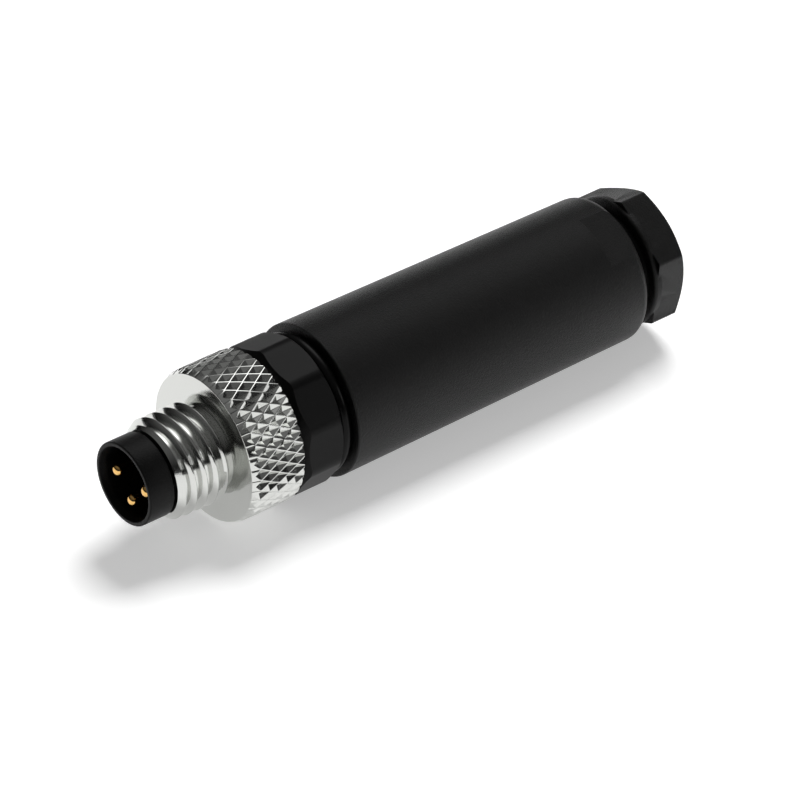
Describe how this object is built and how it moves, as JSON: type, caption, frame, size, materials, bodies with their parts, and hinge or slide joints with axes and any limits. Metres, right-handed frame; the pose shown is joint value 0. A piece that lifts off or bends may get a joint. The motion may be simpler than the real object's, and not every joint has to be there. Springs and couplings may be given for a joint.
{
  "type": "circular sensor connector",
  "caption": "Straight field-wired M8 cable plug: a knurled coupling screw spins round the pin nose, and a hexagon gland nut clamps the cable in a long black sleeve.",
  "frame": {"origin": "centre of the gland nut's flat rear face, on which the plug stands", "axes": "+Z along the plug's axis towards the pins; the picture looks from the -Y side, from 30 degrees above"},
  "size_m": [0.0124, 0.0124, 0.0502],
  "materials": {
    "black_polyamide": "moulded, fine grain",
    "nickel_plated_brass": "turned, bright nickel plate",
    "natural_brass": "turned",
    "gold_plated_brass": "turned, gold plate",
    "black_rubber": "moulded, smooth",
    "spring_steel": "stamped, oiled",
    "plated_steel": "zinc plate"
  },
  "bodies": {
    "sleeve": {"sleeve": "black_polyamide", "cable_seal": "black_rubber", "clamping_cage": "black_polyamide"},
    "housing_seal": {"housing_seal": "black_rubber"},
    "front_housing": {"housing_collar": "black_polyamide", "contact_carrier": "black_polyamide", "carrier_seal": "black_rubber", "retaining_ring": "spring_steel", "terminal_block": "black_polyamide", "contact_1": "gold_plated_brass", "contact_3": "gold_plated_brass", "contact_4": "gold_plated_brass", "clamp_screw_1": "plated_steel", "clamp_screw_3": "plated_steel", "clamp_screw_4": "plated_steel"},
    "coupling_screw": {"coupling_screw": "nickel_plated_brass"},
    "pinch_ring": {"pinch_ring": "natural_brass"},
    "gland_nut": {"gland_nut": "black_polyamide"}
  },
  "joints": [
    {"name": "front_housing_unscrews", "type": "slide", "parent": "sleeve", "child": "housing_seal", "axis": [0, 0, 1], "range_m": [0, 0.0045]},
    {"name": "front_housing_turn", "type": "hinge", "parent": "housing_seal", "child": "front_housing", "pos_m": [0, 0, 0.0336], "axis": [0, 0, 1], "range_deg": [0, 2161]},
    {"name": "coupling_screw_spin", "type": "hinge", "parent": "front_housing", "child": "coupling_screw", "pos_m": [0, 0, 0.0428], "axis": [0, 0, 1], "continuous": true},
    {"name": "gland_nut_advance", "type": "slide", "parent": "sleeve", "child": "pinch_ring", "axis": [0, 0, 1], "range_m": [-0.0045, 0.0009]},
    {"name": "gland_nut_turn", "type": "hinge", "parent": "pinch_ring", "child": "gland_nut", "pos_m": [0, 0, 0], "axis": [0, 0, 1], "range_deg": [-2161, 433]}
  ],
  "couplings": [
    {"joint": "front_housing_turn", "follows": "front_housing_unscrews", "rad_per_m": 8377.6},
    {"joint": "gland_nut_turn", "follows": "gland_nut_advance", "rad_per_m": 8377.6}
  ]
}
